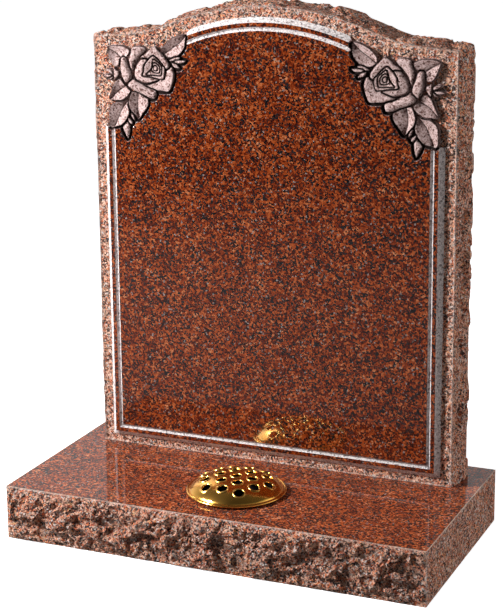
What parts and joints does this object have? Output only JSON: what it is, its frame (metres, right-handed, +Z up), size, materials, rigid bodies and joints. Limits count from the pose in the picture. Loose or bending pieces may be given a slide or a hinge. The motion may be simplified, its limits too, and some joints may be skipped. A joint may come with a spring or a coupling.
{
  "type": "lawn memorial",
  "caption": "Upright granite headstone with carved corner roses on a rock-pitched base, with a perforated gold flower lid over a sunken container.",
  "frame": {"origin": "middle of the base's footprint, on its underside", "axes": "+X to the reader's right along the base, +Y from the front towards the back, +Z up"},
  "size_m": [0.62, 0.331, 0.7341],
  "materials": {
    "base_granite": "red granite, polished top, rock-pitched edges",
    "headstone_granite": "red granite, polished panel, pitched margin and edges, unpolished carving",
    "container_aluminium": "plain spun aluminium",
    "lid_gold": "bright gold anodised"
  },
  "bodies": {
    "root": {"base": "base_granite", "headstone": "headstone_granite", "flower_container": "container_aluminium", "flower_lid": "lid_gold"}
  },
  "joints": []
}
